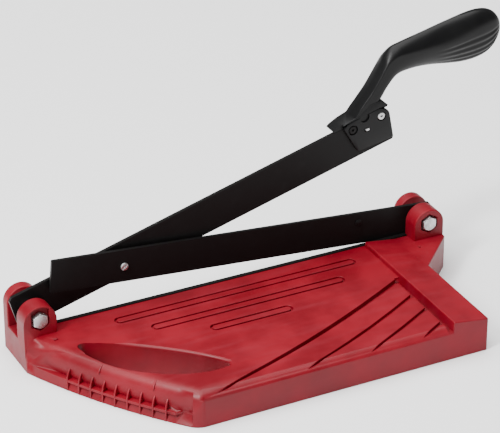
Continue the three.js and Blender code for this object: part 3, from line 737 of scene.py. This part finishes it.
class CUTTER_OT_handle(bpy.types.Operator):
    """Models the moulded handle: neck and palm grip, foot on the lever's end and front cheek"""
    bl_idname = "cutter.handle"
    bl_label = "Handle"

    def execute(self, context):
        lever = lever_frame()
        front, back = 8.1, 26.1
        bar_front, bar_back = 11.1, 15.2

        cheek_seat = ((300, -30), (378.5, -30), (378.5, 20.2), (364, 22.3), (300, 22.3))
        grip = grip_surface("handle_grip")
        carve(grip, shape_prism("bar_seat", ((300, -30), (400, -30), (400, 18.1), (300, 18.1)), 0, bar_back))
        carve(grip, shape_prism("cheek_seat", cheek_seat, 0, bar_front + 0.3))
        foot = shape_prism("foot", FOOT, front, back)
        soften(foot, 1.0 * MM)
        carve(foot, shape_prism("cheek_seat", cheek_seat, 0, bar_front + 0.35))
        rear = shape_prism("rear_cheek", CHEEK, bar_back + 0.05, bar_back + 4.05)
        soften(rear, 0.6 * MM)
        carve(foot, rear, "UNION")
        carve(grip, foot, "UNION")
        for screw in HANDLE_SCREWS:
            carve(grip, round_bar("hole", screw, SCREW_BORE, 0.0, 40.0, 24))
        place(grip, lever)
        finish_piece(grip, "lever", "black_plastic", "handle_body", degrees=32.0)

        cheek = shape_prism("handle_cheek", CHEEK, front, bar_front)
        edit(cheek)
        pick(cheek, "edges", lambda e: bend(e) > 20 and abs(e.verts[0].co.y - e.verts[1].co.y) > MM)
        bpy.ops.mesh.bevel(offset=1.6 * MM, segments=3)
        done()
        soften(cheek, 0.45 * MM, 2)
        for centre, radius, depth in ((HANDLE_SCREWS[0], 4.9, 2.0), ((347.2, 20.6), 5.0, 1.5),
                                      (HANDLE_SCREWS[1], 4.4, 2.1)):
            carve(cheek, round_bar("recess", centre, radius, 0.0, front + depth))
        carve(cheek, shape_prism("window", ((341.8, 9.6), (349.6, 8.4), (349.2, 4.9), (344.6, 5.6)),
                                 0.0, front + 1.2))
        for screw in HANDLE_SCREWS:
            carve(cheek, round_bar("hole", screw, SCREW_BORE, 0.0, 40.0, 24))
        place(cheek, lever)
        finish_piece(cheek, "lever", "black_plastic", "handle_front_cheek")

        catch = shape_prism("cheek_catch", ((345.3, 8.3), (349.2, 7.7), (348.9, 5.3), (345.5, 5.9)),
                            front + 0.35, front + 1.25)
        soften(catch, 0.2 * MM, 2)
        place(catch, lever)
        finish_piece(catch, "lever", "zinc_steel")
        return {"FINISHED"}


def dress(node, name, degrees=35.0):
    """Finishes a modelled copy of a CAD node on the node's own body, in its own slot."""
    slot = next(part["material_slot"] for part in frame["record"]["subparts"] if part["node"] == node)
    obj = bpy.data.objects[name]
    return finish_piece(obj, body_of(frame["nodes"][node])[0], slot, node, degrees=degrees)


def chamfer_hexagon(node, name, across, faces_front):
    """A hexagon's copy whose outer corners are turned down to a cone."""
    obj = copy_of(node, name)
    low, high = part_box(node)
    depth = 60 * MM
    small, large = across / 2 * 0.95, across / 2 * 0.95 + depth * 1.73
    face = low.y if faces_front else high.y
    turn = -90 if faces_front else 90
    bpy.ops.mesh.primitive_cone_add(
        vertices=72, radius1=small, radius2=large, depth=depth, rotation=(math.radians(turn), 0, 0),
        location=((low.x + high.x) / 2, face + depth / 2 * (1 if faces_front else -1), (low.z + high.z) / 2))
    carve(obj, bpy.context.object, "INTERSECT")
    soften(obj, 0.15 * MM, 2, 28.0)
    return dress(node, name, 25.0)


SLOTTED_HEAD = 1.1 * MM         # front of a slotted head that is made again without its plain slot


def round_head(node, name, rounding, drive, turn=0.0):
    """A screw's copy with a domed head and its drive cut in: a slot or a hexagon socket."""
    obj = copy_of(node, name)
    low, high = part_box(node)
    centre = Vector(((low.x + high.x) / 2, low.y, (low.z + high.z) / 2))
    edit(obj)
    if drive == "slot":
        bpy.ops.mesh.select_all(action="SELECT")
        cut = low.y + SLOTTED_HEAD
        bpy.ops.mesh.bisect(plane_co=(0, cut, 0), plane_no=(0, 1, 0),
                            use_fill=True, clear_inner=True)
        pick(obj, "faces", lambda f: f.normal.y < -0.9 and f.calc_center_median().y < cut + MERGE)
        bpy.ops.mesh.extrude_region_move(TRANSFORM_OT_translate={"value": (0, -SLOTTED_HEAD, 0)})
    pick(obj, "edges", lambda e: bend(e) > 50 and abs(middle(e).y - low.y) < 0.02 * MM)
    bpy.ops.mesh.bevel(offset=rounding * MM, segments=5, clamp_overlap=False)
    done()
    clear_selection()
    if drive == "slot":
        bpy.ops.mesh.primitive_cube_add(size=1.0, location=centre, rotation=(0, turn, 0),
                                        scale=(20 * MM, 1.6 * MM, 0.9 * MM))
    else:
        bpy.ops.mesh.primitive_cylinder_add(vertices=6, radius=1.45 * MM, depth=2.6 * MM, location=centre,
                                            rotation=(math.radians(90), 0, 0))
    carve(obj, bpy.context.object)
    return dress(node, name, 40.0)


class CUTTER_OT_fasteners(bpy.types.Operator):
    """Models the bolts, nuts, washers, spacers and screws"""
    bl_idname = "cutter.fasteners"
    bl_label = "Fasteners"

    def execute(self, context):
        for side in ("left", "right"):
            chamfer_hexagon(f"{side}_pivot_bolt", f"{side}_bolt", 13 * MM, True)
            chamfer_hexagon(f"{side}_pivot_nut", f"{side}_nut", 13 * MM, False)
        chamfer_hexagon("link_nut", "nut_on_link", 8 * MM, False)
        chamfer_hexagon("handle_nut_inner", "inner_handle_nut", 7 * MM, False)
        chamfer_hexagon("handle_nut_outer", "outer_handle_nut", 7 * MM, False)
        round_head("link_screw", "slotted_link_screw", 0.9, "slot", math.radians(-40))
        round_head("handle_screw_outer", "outer_handle_screw", 1.1, "socket")
        round_head("handle_screw_inner", "inner_handle_screw", 0.7, "socket")
        for node, name in (("left_pivot_washer", "left_washer"), ("right_pivot_washer", "right_washer"),
                           ("left_front_spacer", "left_tube_front"), ("left_back_spacer", "left_tube_back"),
                           ("right_back_spacer", "right_tube_back"), ("link_spacer", "link_tube"),
                           ("link_washer", "washer_on_link"), ("blade_rivet", "rivet_in_blade")):
            soften(copy_of(node, name), 0.2 * MM, 2)
            dress(node, name)
        for subpart in frame["record"]["subparts"]:
            node = frame["nodes"][subpart["node"]]
            if not node.hide_render:
                node.data.materials.clear()
                node.data.materials.append(finish(subpart["material_slot"]))
        return {"FINISHED"}


STEPS = (CUTTER_OT_stage, CUTTER_OT_moulding, CUTTER_OT_bars, CUTTER_OT_handle, CUTTER_OT_fasteners)


class CUTTER_PT_pieces(bpy.types.Panel):
    """Lists the steps that build the tile cutter"""
    bl_label = "Tile Cutter"
    bl_space_type = "VIEW_3D"
    bl_region_type = "UI"
    bl_category = "Tile Cutter"

    def draw(self, context):
        for step in STEPS:
            self.layout.operator(step.bl_idname, text=step.bl_label)
        for group in (context.scene.cutter_sizes, context.scene.cutter_colours):
            for name in group.__annotations__:
                self.layout.prop(group, name)


CLASSES = (CutterSizes, CutterColours, *STEPS, CUTTER_PT_pieces)


def register():
    for cls in CLASSES:
        bpy.utils.register_class(cls)
    bpy.types.Scene.cutter_sizes = PointerProperty(type=CutterSizes)
    bpy.types.Scene.cutter_colours = PointerProperty(type=CutterColours)


def unregister():
    del bpy.types.Scene.cutter_colours
    del bpy.types.Scene.cutter_sizes
    for cls in reversed(CLASSES):
        bpy.utils.unregister_class(cls)


def main():
    register()
    bpy.ops.cutter.stage()
    bpy.ops.cutter.moulding()
    bpy.ops.cutter.bars()
    bpy.ops.cutter.handle()
    bpy.ops.cutter.fasteners()
    bpy.context.view_layer.update()


if __name__ == "__main__":
    main()
